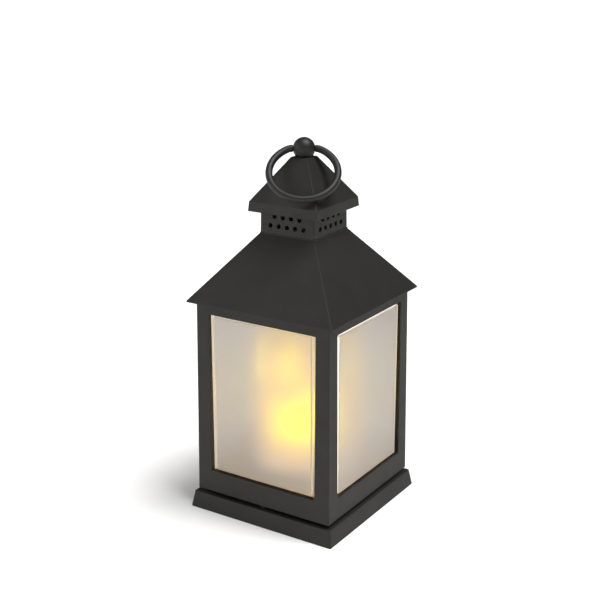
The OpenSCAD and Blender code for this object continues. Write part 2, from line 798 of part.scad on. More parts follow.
// Roof: a thin hipped shell with four bosses that stand on the frame, and a hole for the collar's spigot
module roof_shell() color(black) difference() {
    union() {
        difference() {
            hull() {
                translate([0, 0, eave_z]) frustum(eave_w, slope_w, eave_t, roof_edge_r);
                translate([0, 0, slope_z])
                    frustum(slope_w, roof_top_w, roof_rise, roof_edge_r * slope_w / eave_w);
            }
            roof_slope(roof_wall, eave_z - past, roof_top + past);
        }
        intersection() {
            roof_slope(roof_wall / 2, eave_z, roof_top);
            at_corners(roof_boss_half) rod(boss_r, body_top, roof_top);
        }
    }
    prism(spigot_w + 2 * pane_clear, collar_edge_r, slope_z, roof_top + past);
    at_corners(roof_boss_half) rod(screw_d / 2 + thread_clear, eave_z, body_top + screw_hole);
}

module roof_screws() color(steel)
    at_corners(roof_boss_half) screw(body_top - top_flange_t, body_top + screw_grip);

// Snap lug on the +X side of the spigot: a wedge that follows the roof's underside at a small gap
module spigot_lug() {
    root = spigot_w / 2;
    gap = fit_gap * sqrt(1 + pow(roof_fall, 2));
    under = roof_top - roof_fall * (root + roof_wall - roof_top_w / 2) - gap;
    rotate([90, 0, 0]) linear_extrude(lug_w, center = true) polygon([
        [root - collar_wall / 4, under], [root, under],
        [root + lug_reach, under - roof_fall * lug_reach],
        [root, roof_top - spigot_l], [root - collar_wall / 4, roof_top - spigot_l]
    ]);
}

// Vent holes through a pair of opposite walls: a row, and a shorter row between its holes
module vent_holes() {
    for (row = [0, 1], k = [0:vent_count - 1 - row])
        translate([(k - (vent_count - 1 - row) / 2) * vent_pitch, 0, roof_top + vent_lift + row * vent_rise])
            bar_y(vent_d / 2, -collar_w, collar_w);
}

// Collar: drafted walls on a foot flange, with a spigot below, a top plate and vents on all four sides
module vent_collar() color(black) difference() {
    union() {
        translate([0, 0, roof_top]) frustum(collar_w, collar_top_w, collar_h, collar_edge_r);
        prism(roof_top_w, collar_edge_r, roof_top, roof_top + collar_flange_h);
        prism(spigot_w, collar_edge_r, roof_top - spigot_l, roof_top + collar_flange_h);
        on_sides() spigot_lug();
    }
    block(collar_inner_w, collar_inner_w, roof_top - spigot_l - past, collar_top - collar_plate_t);
    for (a = [0, 90]) rotate(a) vent_holes();
    rod(bolt_d / 2 + turn_clear, roof_top, collar_top + past);
}

// Outline of the cap: a flared skirt under a pyramid, drawn in by inset, run down by run and cut by top_t
module cap_form(inset, run, top_t) {
    rise = cap_rise - top_t;
    flare = cap_flare * (1 + run / cap_skirt_h);
    slope_w = cap_slope_w - 2 * inset;
    foot_w = slope_w + 2 * flare;
    top_w = slope_w - (cap_slope_w - cap_top_w) * rise / cap_rise;
    r = cap_edge_r * foot_w / cap_w;
    hull() {
        translate([0, 0, cap_z - run]) frustum(foot_w, slope_w, cap_skirt_h + run, r);
        translate([0, 0, cap_slope_z]) frustum(slope_w, top_w, rise, r * slope_w / foot_w);
    }
}

// Cap: a hollow pyramid whose boss and crossed ribs stand on the collar's top plate
module cap() color(black) difference() {
    union() {
        difference() {
            cap_form(0, 0, 0);
            cap_form(cap_wall, past, cap_top_t);
        }
        intersection() {
            cap_form(cap_wall / 2, 0, cap_top_t / 2);
            for (a = [0, 90]) rotate(a) block(cap_w, cap_rib_t, collar_top, cap_top);
        }
        rod(cap_boss_r, collar_top, cap_top - cap_top_t / 2);
    }
    rod(bolt_d / 2 + turn_clear, cap_z, cap_top + past);
}

// Bolt that the finial turns with, from below the collar's plate up into the ball
module finial_bolt() color(steel) {
    head_top = collar_top - collar_plate_t - washer_t - fit_gap;
    rod(bolt_head_d / 2, head_top - bolt_head_h, head_top);
    rod(bolt_d / 2, head_top - bolt_head_h / 2, ball_foot + bolt_grip);
}

module finial_washer() color(steel) difference() {
    rod(washer_d / 2, collar_top - collar_plate_t - washer_t, collar_top - collar_plate_t);
    rod(bolt_d / 2 + screw_clear, cap_z, collar_top);
}

// Ball cut flat at its foot, bored for the bolt, and spot-faced and bored on both sides for the ring's pins
module ball_finial() color(black) translate([0, 0, ball_z]) rotate(ring_turn) difference() {
    sphere(ball_d / 2);
    translate([0, 0, -ball_z]) block(2 * ball_d, 2 * ball_d, cap_z, ball_foot);
    rod(bolt_d / 2 + thread_clear, -ball_d, ball_foot + bolt_grip + fit_gap - ball_z);
    for (s = [0, 180]) rotate(s) {
        bar(spot_r, spot_x, ball_d);
        bar(pin_d / 2 + turn_clear, spot_x - pin_l - fit_gap, ball_d);
    }
}

// Open ring, bent inwards to straight ends that carry the pins, drawn hanging and then leaned on the cap
module ring_handle() color(black) translate([0, 0, ball_z]) rotate(ring_turn) rotate([-ring_lean, 0, 0]) {
    difference() {
        union() {
            rotate([90, 0, 0]) translate([0, -ring_drop, 0]) rotate(90 + ring_gap_angle)
                rotate_extrude(angle = 360 - 2 * ring_gap_angle) translate([ring_r, 0]) circle(ring_d / 2);
            for (s = [0, 180]) rotate(s) {
                translate([knuckle_x, 0, 0]) sphere(ring_d / 2 + knuckle_bead);
                bar(ring_d / 2, ring_end_x - past, knuckle_x);
            }
        }
        bar(ring_d, -ring_end_x, ring_end_x);
    }
    for (s = [0, 180]) rotate(s) bar(pin_d / 2, spot_x - pin_l, knuckle_x);
}

base_plinth();
battery_door();
battery_cell(1);  // battery_cell_1
battery_cell(2);  // battery_cell_2
battery_cell(3);  // battery_cell_3
positive_contacts();
negative_contacts();
switch_housing();
switch_slider();
switch_leads();
control_board();
controller_chip();
base_screws();
body_frame();
pane_front();
pane_right();
pane_back();
pane_left();
lamp_deck();
flame_socket();
led_tube();
leds();
flame_diffuser();
module_screws();
roof_shell();
roof_screws();
vent_collar();
cap();
finial_bolt();
finial_washer();
ball_finial();
ring_handle();
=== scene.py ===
import math

import bmesh
import bpy
import numpy as np
from mathutils import Matrix, Vector


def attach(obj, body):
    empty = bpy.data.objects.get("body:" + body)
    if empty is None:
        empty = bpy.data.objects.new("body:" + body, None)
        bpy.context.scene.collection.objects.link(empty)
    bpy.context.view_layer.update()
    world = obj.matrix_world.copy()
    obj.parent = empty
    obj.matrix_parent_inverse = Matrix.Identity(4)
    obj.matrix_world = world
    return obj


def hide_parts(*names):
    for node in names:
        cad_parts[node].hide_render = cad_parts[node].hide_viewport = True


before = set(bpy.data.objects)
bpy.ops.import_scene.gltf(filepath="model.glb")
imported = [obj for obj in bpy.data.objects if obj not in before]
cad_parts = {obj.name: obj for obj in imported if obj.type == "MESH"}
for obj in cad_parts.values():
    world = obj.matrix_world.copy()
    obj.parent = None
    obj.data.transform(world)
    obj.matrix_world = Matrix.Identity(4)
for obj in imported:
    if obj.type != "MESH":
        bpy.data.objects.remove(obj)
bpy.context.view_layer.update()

# Plinth: a tapered tray of black ABS, hollow below, with a recessed neck that the frame stands on.
# Injection moulded in a spark-eroded tool, so its rims are slightly round and its skin has a fine grain.
# Plain sizes are in millimetres, and times mm they are in metres
mm = 0.001
plinth_edge = 0.45 * mm
# The rims lie outside this half width, and not between these two heights
plinth_outside = 49
plinth_foot_z, plinth_top_z = 0.1, 10


def linear(code):
    """sRGB hex to linear colour: each channel to 0..1, then the sRGB curve undone."""
    channels = np.array([int(code[k:k + 2], 16) for k in (1, 3, 5)]) / 255
    low = channels / 12.92
    high = ((channels + 0.055) / 1.055) ** 2.4
    return (*np.where(channels <= 0.04045, low, high).tolist(), 1.0)


def add(tree, kind, values=None, links=None, **settings):
    """Adds one node: settings are its properties, values its own inputs, and links its inputs from other
    nodes' sockets."""
    new = tree.nodes.new(kind)
    for name, setting in settings.items():
        setattr(new, name, setting)
    for name, value in (values or {}).items():
        new.inputs[name].default_value = value
    for name, socket in (links or {}).items():
        tree.links.new(socket, new.inputs[name])
    return new


def fresh_material(name, **values):
    """Empty material with one Principled shader whose plain inputs are set from values."""
    made = bpy.data.materials.new(name)
    made.use_nodes = True
    tree = made.node_tree
    tree.nodes.clear()
    shader = add(tree, "ShaderNodeBsdfPrincipled", values)
    add(tree, "ShaderNodeOutputMaterial", links={"Surface": shader.outputs["BSDF"]})
    return made, tree, shader


def moulded_plastic(name, shadow, light, roughness, grain):
    """Moulded plastic: a near-black body colour that drifts from shadow to light, with faint scuffs, and a
    fine grain of about grain mm that breaks up the sheen."""
    drift_size, mark_size, scuff_size, grain_depth = 30 * mm, 8 * mm, 7 * mm, 0.02 * mm
    scuffed = "#2c2b29"
    made, tree, shader = fresh_material(name, **{"IOR": 1.53, "Specular IOR Level": 0.34})
    place = add(tree, "ShaderNodeTexCoord").outputs["Object"]
    # The colour drifts, as resin flows and cools unevenly
    drift = add(tree, "ShaderNodeTexNoise", {"Scale": 1 / drift_size, "Detail": 3.0}, {"Vector": place})
    tone = add(tree, "ShaderNodeValToRGB", links={"Fac": drift.outputs["Fac"]})
    tone.color_ramp.elements[0].position = 0.3
    tone.color_ramp.elements[0].color = linear(shadow)
    tone.color_ramp.elements[1].position = 0.7
    tone.color_ramp.elements[1].color = linear(light)
    # Handling marks change the sheen
    marks = add(tree, "ShaderNodeTexNoise", {"Scale": 1 / mark_size, "Detail": 4.0}, {"Vector": place})
    sheen = add(tree, "ShaderNodeMapRange", {"To Min": roughness - 0.05, "To Max": roughness + 0.06},
                {"Value": marks.outputs["Fac"]})
    # The real grain is about 0.05 mm: drawn coarser, so that it shows in the picture
    skin = add(tree, "ShaderNodeTexNoise", {"Scale": 1 / (grain * mm), "Detail": 2.0}, {"Vector": place})
    bump = add(tree, "ShaderNodeBump", {"Strength": 0.25, "Distance": grain_depth},
               {"Height": skin.outputs["Fac"]})
    # Faint pale scuffs, a few millimetres long, from packing and shelves, mixed over the body colour
    rubbed = add(tree, "ShaderNodeTexNoise",
                 {"Scale": 1 / scuff_size, "Detail": 5.0, "Roughness": 0.62, "Distortion": 2.5},
                 {"Vector": place})
    scuff = add(tree, "ShaderNodeMapRange", {"From Min": 0.62, "From Max": 0.74, "To Max": 0.55},
                {"Value": rubbed.outputs["Fac"]})
    worn = add(tree, "ShaderNodeMix", {7: linear(scuffed)},
               {0: scuff.outputs["Result"], 6: tone.outputs["Color"]}, data_type="RGBA")
    tree.links.new(worn.outputs[2], shader.inputs["Base Color"])
    tree.links.new(sheen.outputs["Result"], shader.inputs["Roughness"])
    tree.links.new(bump.outputs["Normal"], shader.inputs["Normal"])
    return made


def placed(name, data):
    """New object at the origin for a mesh, a light or a camera, linked into the scene."""
    new = bpy.data.objects.new(name, data)
    bpy.context.collection.objects.link(new)
    return new


def keep(piece, made, body, slot, *nodes):
    """Finishes a piece: its material or list of materials, smooth faces weighted by area, its body and the
    nodes that it replaces. slot is not used."""
    piece.data.materials.clear()
    for each in made if isinstance(made, list) else [made]:
        piece.data.materials.append(each)
    piece.data.shade_smooth()
    even = piece.modifiers.new("even_shading", "WEIGHTED_NORMAL")
    even.keep_sharp = True
    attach(piece, body)
    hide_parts(*nodes)


def softened(node, radius, made, body, slot, shown=None):
    """Copy of a CAD node as one skin: doubles merged and flat triangles joined. Of its sharp edges, those
    whose middle, in mm, passes the test shown are rounded to radius, or all of them where there is no test.
    The others stay sharp."""
    merge_distance, flat_angle, sharp_angle = 0.002 * mm, math.radians(0.5), math.radians(35)
    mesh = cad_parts[node].data.copy()
    mesh.name = node + "_skin"
    skin = bmesh.new()
    skin.from_mesh(mesh)
    bmesh.ops.remove_doubles(skin, verts=skin.verts, dist=merge_distance)
    bmesh.ops.dissolve_limit(skin, angle_limit=flat_angle, verts=skin.verts, edges=skin.edges)
    weight = skin.edges.layers.float.new("bevel_weight_edge")
    for edge in skin.edges:
        if edge.calc_face_angle(0) > sharp_angle:
            middle = (edge.verts[0].co + edge.verts[1].co) / (2 * mm)
            edge.smooth = shown is None or shown(*middle)
            edge[weight] = float(edge.smooth)
    skin.to_mesh(mesh)
    skin.free()
    piece = placed(node + "_skin", mesh)
    edges = piece.modifiers.new("edges", "BEVEL")
    edges.width = radius
    edges.segments = 3
    edges.limit_method = "WEIGHT"
    edges.use_clamp_overlap = False
    keep(piece, made, body, slot, node)


def finish_node(made, *nodes):
    """Puts a material on CAD nodes that stay as they are."""
    for node in nodes:
        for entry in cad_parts[node].material_slots:
            entry.material = made


def plinth_rim(x, y, z):
    """True on the rims at the plinth's foot and at its top edge."""
    return max(abs(x), abs(y)) > plinth_outside and not plinth_foot_z < z < plinth_top_z


# Black ABS with a spark-eroded skin: a charcoal tone with a soft sheen and no gloss
black_abs = moulded_plastic("black_abs", "#161512", "#1d1b17", roughness=0.58, grain=0.45)
softened("base_plinth", plinth_edge, black_abs, "base", "black_plastic", plinth_rim)

# Battery door: a flat ABS panel in the rebate under the bay, moulded like the plinth. Two tongues hook behind
# the hinge line, and a latch cut free by two slits springs shut at the other end.
finish_node(black_abs, "battery_door")

# Cells and contacts: three steel-cased cells in printed film, laid head to tail between stamped brass strips.
# The strips are pressed into the bay's walls, and each negative one has a sprung arch.


def toned(name, low, high, size, glow=False, **values):
    """Material whose colour drifts between two tones over patches of about size mm. With glow, the same
    colour is also given off as light."""
    made, tree, shader = fresh_material(name, **values)
    place = add(tree, "ShaderNodeTexCoord").outputs["Object"]
    patch = add(tree, "ShaderNodeTexNoise", {"Scale": 1 / (size * mm), "Detail": 2.0}, {"Vector": place})
    tone = add(tree, "ShaderNodeValToRGB", links={"Fac": patch.outputs["Fac"]})
    tone.color_ramp.elements[0].color = linear(low)
    tone.color_ramp.elements[1].color = linear(high)
    tree.links.new(tone.outputs["Color"], shader.inputs["Base Color"])
    if glow:
        tree.links.new(tone.outputs["Color"], shader.inputs["Emission Color"])
    return made


def plain_metal(name, dull, bright, grain):
    """Stamped or rolled metal: its tone drifts from dull to bright, and its gloss with it, over patches of
    about grain mm."""
    made, tree, shader = fresh_material(name, Metallic=1.0)
    place = add(tree, "ShaderNodeTexCoord").outputs["Object"]
    patch = add(tree, "ShaderNodeTexNoise", {"Scale": 1 / (grain * mm), "Detail": 3.0}, {"Vector": place})
    tone = add(tree, "ShaderNodeValToRGB", links={"Fac": patch.outputs["Fac"]})
    tone.color_ramp.elements[0].color = linear(dull)
    tone.color_ramp.elements[1].color = linear(bright)
    gloss = add(tree, "ShaderNodeMapRange", {"To Min": 0.25, "To Max": 0.4}, {"Value": patch.outputs["Fac"]})
    tree.links.new(tone.outputs["Color"], shader.inputs["Base Color"])
    tree.links.new(gloss.outputs["Result"], shader.inputs["Roughness"])
    return made


# Printed film over steel: a grey with a soft metal glint
cell_film = toned("cell_film", "#565b61", "#7d838a", size=12, Metallic=0.3, Roughness=0.35)
finish_node(cell_film, "battery_cell_1", "battery_cell_2", "battery_cell_3")
# Stamped brass: a warm yellow with a soft, uneven shine
contact_brass = plain_metal("contact_brass", "#a88d4f", "#d2b672", grain=0.6)
finish_node(contact_brass, "positive_contacts", "negative_contacts")

# Switch and fasteners: a folded tinned can in its pocket, three solder leads and a black nylon slider with
# the knob that a finger moves. The screws, the bolt and its washer are plated steel of the same look.

# Tinned or plated steel: a pale grey with a soft, uneven shine
tinned_steel = plain_metal("tinned_steel", "#9a9da0", "#c3c6c8", grain=0.8)
finish_node(tinned_steel, "switch_housing", "switch_leads", "base_screws", "module_screws", "roof_screws",
            "finial_bolt", "finial_washer")
# Black nylon: as dark as the ABS and a little smoother
black_nylon = moulded_plastic("black_nylon", "#141413", "#1b1b1a", roughness=0.45, grain=0.3)
finish_node(black_nylon, "switch_slider")

# Control board: glass fibre under green solder mask, on two pegs of the battery bay and on the switch's
# leads. Its controller is sealed under a drop of black resin.

# Solder mask: a green lacquer with a half gloss
solder_mask = toned("solder_mask", "#1f5233", "#2d6a44", size=1.5, Roughness=0.35)
finish_node(solder_mask, "control_board")
# Sealing resin: black, and glossy as it set from a liquid
sealing_resin = moulded_plastic("sealing_resin", "#101010", "#171717", roughness=0.25, grain=1.2)
finish_node(sealing_resin, "controller_chip")

# Body frame: one ABS moulding with a window in each side and drafted walls, screwed down on the plinth's
# neck. Its outer edges are almost sharp, with only the slight round that moulding leaves.
frame_edge = 0.3 * mm
frame_inside = 45.4


def frame_outside(x, y, z):
    """True further out than the inner faces of the walls."""
    return max(abs(x), abs(y)) > frame_inside


softened("body_frame", frame_edge, black_abs, "base", "black_plastic", frame_outside)

# Panes: four frosted styrene plates with a raised centre, held behind the windows by their flanges in
# grooves. The faces scatter light. Their walls and some flange strips glow as painted highlights: thin lines.
pane_sizes = {"half_w": 41.3, "half_h": 54.8, "middle_z": 78.7, "back": 44.15, "flange": 45.15,
              "face": 47.35, "centre_half_w": 35.3, "centre_half_h": 50.6, "bevel": 0.3, "corner": 0.5}


def rings(levels, steps):
    """Stack of rounded rectangles: on each row of levels (half width, half height, radius, depth), every
    quarter turn is the corner's centre plus radius times (cos, sin) of an angle in equal steps."""
    half_u, half_v, radius, depth = (column[:, None] for column in np.asarray(levels, float).T)
    quarter = np.linspace(0, np.pi / 2, steps)
    angle = np.concatenate([quarter + k * np.pi / 2 for k in range(4)])[None, :]
    sign_u = np.repeat([1, -1, -1, 1], steps)[None, :]
    sign_v = np.repeat([1, 1, -1, -1], steps)[None, :]
    u = sign_u * (half_u - radius) + radius * np.cos(angle)
    v = sign_v * (half_v - radius) + radius * np.sin(angle)
    return np.stack([u, v, np.broadcast_to(depth, u.shape)], -1)


def skin_mesh(name, grid, wrap=False):
    """Piece over a grid of rows of points, each row a closed ring. Quads join neighbouring rows. With wrap
    the last row joins the first, and otherwise one face closes each end."""
    rows, columns = grid.shape[:2]
    row = np.arange(rows if wrap else rows - 1)[:, None]
    column = np.arange(columns)[None, :]
    after, above = (column + 1) % columns, (row + 1) % rows
    quads = np.stack([row * columns + column, row * columns + after, above * columns + after,
                      above * columns + column], -1).reshape(-1, 4)
    faces = quads.tolist()
    if not wrap:
        faces.append(np.arange(columns)[::-1].tolist())
        faces.append((np.arange(columns) + (rows - 1) * columns).tolist())
    mesh = bpy.data.meshes.new(name)
    mesh.from_pydata(grid.reshape(-1, 3).tolist(), [], faces)
    mesh.validate()
    return placed(name, mesh)


# Frosted face: part of the light scatters at the skin, and the rest comes through blurred
frost = toned("frosted_styrene", "#e5e2e0", "#edeae8", size=25, **{
    "Roughness": 0.45, "IOR": 1.45, "Transmission Weight": 0.83, "Subsurface Weight": 1.0,
    "Subsurface Radius": (1.0, 1.0, 1.0), "Subsurface Scale": 2 * mm})
# Walls and flange strips: painted light, glowing by themselves as painted highlights. The walls that face the
# room's light are painted white, and the others dimmer and warmer, as lit and shaded copies of one material
painted_highlight_edge = toned("styrene_painted_highlight", "#fff3e2", "#fffaf2", size=4, glow=True, **{
    "Roughness": 0.25, "IOR": 1.5, "Transmission Weight": 0.4, "Emission Strength": 0.85})
painted_dim_edge = toned("styrene_painted_dim_glow", "#f6e4ce", "#f9ecdc", size=4, glow=True, **{
    "Roughness": 0.25, "IOR": 1.5, "Transmission Weight": 0.4, "Emission Strength": 0.34})
# Painted warm glow for the bottom walls and flange strips, and a dim warm painted line along the right bevel
painted_warm_edge = toned("styrene_painted_warm_glow", "#c9a076", "#d6b08a", size=4, glow=True, **{
    "Roughness": 0.3, "IOR": 1.5, "Transmission Weight": 0.4, "Emission Strength": 0.1})


def pane_piece(side, turn, wall_glow):
    """Pane as a stack of rounded rectangles from its back to its face, then turned onto its side. Its third
    argument is the painted glow material of the raised centre's upper and left walls."""
    pane = pane_sizes
    bevel, corner = pane["bevel"], pane["corner"]
    bevel_middle = 0.3 * bevel
    in_w, in_h = pane["centre_half_w"], pane["centre_half_h"]
    levels = [
        (pane["half_w"], pane["half_h"], corner, pane["back"]),
        (pane["half_w"], pane["half_h"], corner, pane["flange"]),
        (in_w, in_h, corner, pane["flange"]),
        (in_w, in_h, corner, pane["face"] - bevel),
        (in_w - bevel_middle, in_h - bevel_middle, corner, pane["face"] - bevel_middle),
        (in_w - bevel, in_h - bevel, corner, pane["face"]),
    ]
    corner_steps = 5
    flat = rings(levels, corner_steps) * mm
    front = np.stack([flat[..., 0], -flat[..., 2], flat[..., 1] + pane["middle_z"] * mm], -1)
    spin = np.array(Matrix.Rotation(turn, 3, "Z"))
    piece = skin_mesh(f"pane_{side}_plate", front @ spin.T)
    keep(piece, [frost, wall_glow, painted_dim_edge, painted_warm_edge], "base", "frosted_plastic", f"pane_{side}")
    # The faces lie row by row. In a row, the straight side after each corner is that corner's last face
    top, left, bottom, right = (np.arange(1, 5) * corner_steps - 1).tolist()
    flange_row, wall_row, bevel_row, rim_row = (np.arange(1, 5) * 4 * corner_steps).tolist()
    # Painted light by face: upper and left walls get the given glow, the left flange strip and right wall the
    # dim glow, and the bottom strip and wall and the right bevel and rim the dim warm glow
    index = np.zeros(len(piece.data.polygons), int)
    index[[wall_row + top, wall_row + left]] = 1
    index[[flange_row + left, wall_row + right]] = 2
    index[[flange_row + bottom, wall_row + bottom, bevel_row + right, rim_row + right]] = 3
    piece.data.polygons.foreach_set("material_index", index)


# Painted glow on each pane's upper and left walls: the brighter painted highlight on the right and left
# panes, the dimmer painted glow on the front and back
pane_wall_glows = {"front": painted_dim_edge, "right": painted_highlight_edge, "back": painted_dim_edge, "left": painted_highlight_edge}
for quarter_turns, (side, wall_glow) in enumerate(pane_wall_glows.items()):
    pane_piece(side, quarter_turns * math.pi / 2, wall_glow)

# Lamp: a white deck and socket, a light tube folded from white board with rows of lights, and a frosted dome
# over them. The deck stands on the plinth, two screws hold the socket, and the dome's foot stands in the
# socket's rim.

# White styrene and board: matt and bright, so they throw the lamp's light back
white_styrene = toned("white_styrene", "#e4e0d6", "#f0ede6", size=9, Roughness=0.5)
finish_node(white_styrene, "lamp_deck", "flame_socket")
white_board = toned("white_board", "#ddd9cf", "#f2efe8", size=2, Roughness=0.5)
finish_node(white_board, "led_tube")
# Clear resin: small domes that glow warm yellow
led_lens = toned("led_lens", "#ffd25a", "#ffdd78", size=1.5, glow=True, **{
    "Roughness": 0.2, "Emission Strength": 2.0})
finish_node(led_lens, "leds")
# Frosted polycarbonate: a milky dome that shows the flame of the lights behind it as a soft glow. The glow is
# drawn round the dome's axis, three times a turn: a hot yellow tongue, and five softer parts round it
flame_count, flame_sway, flame_waver_size, flame_strength = 3.0, 0.5, 18 * mm, 1.92
flame, flame_tree, flame_shader = fresh_material(
    "frosted_polycarbonate", **{"Roughness": 0.5, "Emission Strength": flame_strength})
flame_place = add(flame_tree, "ShaderNodeTexCoord").outputs["Object"]
flame_waver = add(flame_tree, "ShaderNodeTexNoise", {"Scale": 1 / flame_waver_size, "Detail": 1.5},
                  {"Vector": flame_place})
flame_split = add(flame_tree, "ShaderNodeSeparateXYZ", links={"Vector": flame_place})
flame_front = add(flame_tree, "ShaderNodeMath", {1: -1.0}, {0: flame_split.outputs["Y"]},
                  operation="MULTIPLY")
flame_angle = add(flame_tree, "ShaderNodeMath", None,
                  {0: flame_split.outputs["X"], 1: flame_front.outputs[0]}, operation="ARCTAN2")


def tongues(turn, narrow, low, full, fade, high):
    """Three tongues a turn: half of one plus the cosine of three times the angle from turn degrees, raised to
    the power narrow, times a rise from height low to full and a fall from fade to high, in millimetres. A
    noise sways the angle."""
    shifted = add(flame_tree, "ShaderNodeMath", {1: -math.radians(turn)}, {0: flame_angle.outputs[0]},
                  operation="ADD")
    swayed = add(flame_tree, "ShaderNodeMath", {1: flame_sway},
                 {0: flame_waver.outputs["Fac"], 2: shifted.outputs[0]}, operation="MULTIPLY_ADD")
    tripled = add(flame_tree, "ShaderNodeMath", {1: flame_count}, {0: swayed.outputs[0]},
                  operation="MULTIPLY")
    wave = add(flame_tree, "ShaderNodeMath", None, {0: tripled.outputs[0]}, operation="COSINE")
    lobe = add(flame_tree, "ShaderNodeMapRange", {"From Min": -1.0, "From Max": 1.0},
               {"Value": wave.outputs[0]})
    thin = add(flame_tree, "ShaderNodeMath", {1: narrow}, {0: lobe.outputs["Result"]}, operation="POWER")
    rise = add(flame_tree, "ShaderNodeMapRange", {"From Min": low * mm, "From Max": full * mm},
               {"Value": flame_split.outputs["Z"]}, interpolation_type="SMOOTHSTEP")
    fall = add(flame_tree, "ShaderNodeMapRange",
               {"From Min": fade * mm, "From Max": high * mm, "To Min": 1.0, "To Max": 0.0},
               {"Value": flame_split.outputs["Z"]}, interpolation_type="SMOOTHSTEP")
    shaped = add(flame_tree, "ShaderNodeMath", None, {0: thin.outputs[0], 1: rise.outputs["Result"]},
                 operation="MULTIPLY")
    return add(flame_tree, "ShaderNodeMath", None, {0: shaped.outputs[0], 1: fall.outputs["Result"]},
               operation="MULTIPLY").outputs[0]


flame_heat = tongues(turn=40, narrow=2.0, low=47, full=58, fade=63, high=83)
# The softer parts: the same six values of each, then its share in the heat
flame_parts = (
    (64, 4, 48, 60, 74, 94, 0.55),
    (31, 2.2, 84, 99, 110, 124, 0.4),
    (-14, 14, 80, 94, 114, 122, 0.55),
    (-16, 3, 36, 54, 78, 100, 0.13),
    (38, 0.35, 27, 52, 78, 112, 0.34),
)
for *shape, share in flame_parts:
    flame_heat = add(flame_tree, "ShaderNodeMath", {1: share}, {0: tongues(*shape), 2: flame_heat},
                     operation="MULTIPLY_ADD").outputs[0]
flame_ramp = add(flame_tree, "ShaderNodeValToRGB", links={"Fac": flame_heat})
flame_stops = [(0.0, "#98816f"), (0.25, "#caa148"), (0.5, "#e9d236"), (0.8, "#ffee00"), (1.0, "#fff800")]
flame_entries = flame_ramp.color_ramp.elements
for stop, (position, code) in enumerate(flame_stops):
    entry = flame_entries[stop] if stop < 2 else flame_entries.new(position)
    entry.position = position
    entry.color = linear(code)
flame_tree.links.new(flame_ramp.outputs["Color"], flame_shader.inputs["Emission Color"])
# The dome's own colour follows the glow: milky where the heat is low, yellow where it is high, painted light
# over the emission
flame_glow_tint = add(flame_tree, "ShaderNodeValToRGB", links={"Fac": flame_heat})
flame_glow_tint.color_ramp.elements[0].color = linear("#e9e2d2")
flame_glow_tint.color_ramp.elements[1].color = linear("#d8a81c")
flame_tree.links.new(flame_glow_tint.outputs["Color"], flame_shader.inputs["Base Color"])
finish_node(flame, "flame_diffuser")

# Roof: a hipped ABS shell with a thin upright eave edge and a square hole for the collar's spigot.
# It stands on the frame's top flange, held by four screws from below.


def rounded_outline(corners, radii, steps):
    """Closed outline whose corners are cut back and replaced by quadratic curves: each runs from a point on
    the incoming side to one on the outgoing side, at the given distance, with the corner as control point."""
    corners = np.asarray(corners, float)
    radii = np.asarray(radii, float)[:, None]
    before = np.roll(corners, 1, 0) - corners
    after = np.roll(corners, -1, 0) - corners
    start = corners + before / np.linalg.norm(before, axis=1, keepdims=True) * radii
    end = corners + after / np.linalg.norm(after, axis=1, keepdims=True) * radii
    t = np.linspace(0, 1, steps)[None, :, None]
    curve = (1 - t) ** 2 * start[:, None] + 2 * t * (1 - t) * corners[:, None] + t ** 2 * end[:, None]
    return curve.reshape(-1, 2)


def hipped_shell(name, corners, radii, outline_steps, hip, hip_steps):
    """Square shell whose half section is the rounded outline of corners (half width, height): each point of
    it carries a rounded square. The hips' radius is hip at the first corner and shrinks with the width."""
    outline = rounded_outline(corners, radii, outline_steps)
    half_w, height = outline[:, 0], outline[:, 1]
    levels = np.stack([half_w, half_w, hip * half_w / corners[0][0], height], 1)
    return skin_mesh(name, rings(levels, hip_steps) * mm, wrap=True)


roof_corners = [(52.0, 137.3), (51.9, 138.2), (19.6, 178.0), (18.5, 178.0), (18.5, 176.5), (50.33, 137.3)]
roof_rounds = [0.25, 0.35, 0.3, 0.2, 0.2, 0.2]
roof_piece = hipped_shell("roof_skin", roof_corners, roof_rounds, outline_steps=5, hip=0.3, hip_steps=7)
keep(roof_piece, black_abs, "base", "black_plastic", "roof_shell")

# Vent collar: a square ABS sleeve on the roof, pierced on each side by two rows of vents.
# Its spigot snaps into the roof, and the finial's bolt hangs from its top plate.
collar_edge = 0.2 * mm
softened("vent_collar", collar_edge, black_abs, "base", "black_plastic")

# Cap: a hollow ABS pyramid with a flared skirt. Its boss and ribs stand on the collar, and the finial's bolt
# clamps it down.
cap_corners = [(24.55, 192.1), (24.05, 198.0), (5.6, 224.1), (2.0, 224.1), (2.0, 221.6), (5.35, 221.6),
               (22.05, 198.0), (22.55, 192.1)]
cap_rounds = [0.35, 0.3, 0.5, 0.2, 0.2, 0.2, 0.5, 0.2]
cap_piece = hipped_shell("cap_skin", cap_corners, cap_rounds, outline_steps=6, hip=0.4, hip_steps=9)
keep(cap_piece, black_abs, "base", "black_plastic", "cap")

# Ball finial: a smooth moulded ball with a flat foot, bored across for the ring's pins and spot-faced round
# them. It turns with the bolt below it, and is a little glossier than the rest from handling.
pivot = np.array([0.0, 0.0, 228.8])
ring_turn, ring_lean = math.radians(31.3), math.radians(51.5)
ball_r, ball_foot = 6.8, -4.4
spot_r, spot_x, spot_round = 2.3, 6.399, 0.1
bore_r, bore_x, bore_pole = 1.36, 2.7, 0.02


def turned(outline, steps):
    """Surface of revolution about the first axis: each outline point (along, radius) swept round in a
    circle."""
    angle = np.linspace(0, 2 * np.pi, steps, endpoint=False)[None, :]
    along, radius = outline[:, :1], outline[:, 1:]
    return np.stack([np.broadcast_to(along, radius.shape[:1] + angle.shape[1:]), radius * np.cos(angle),
                     radius * np.sin(angle)], -1)


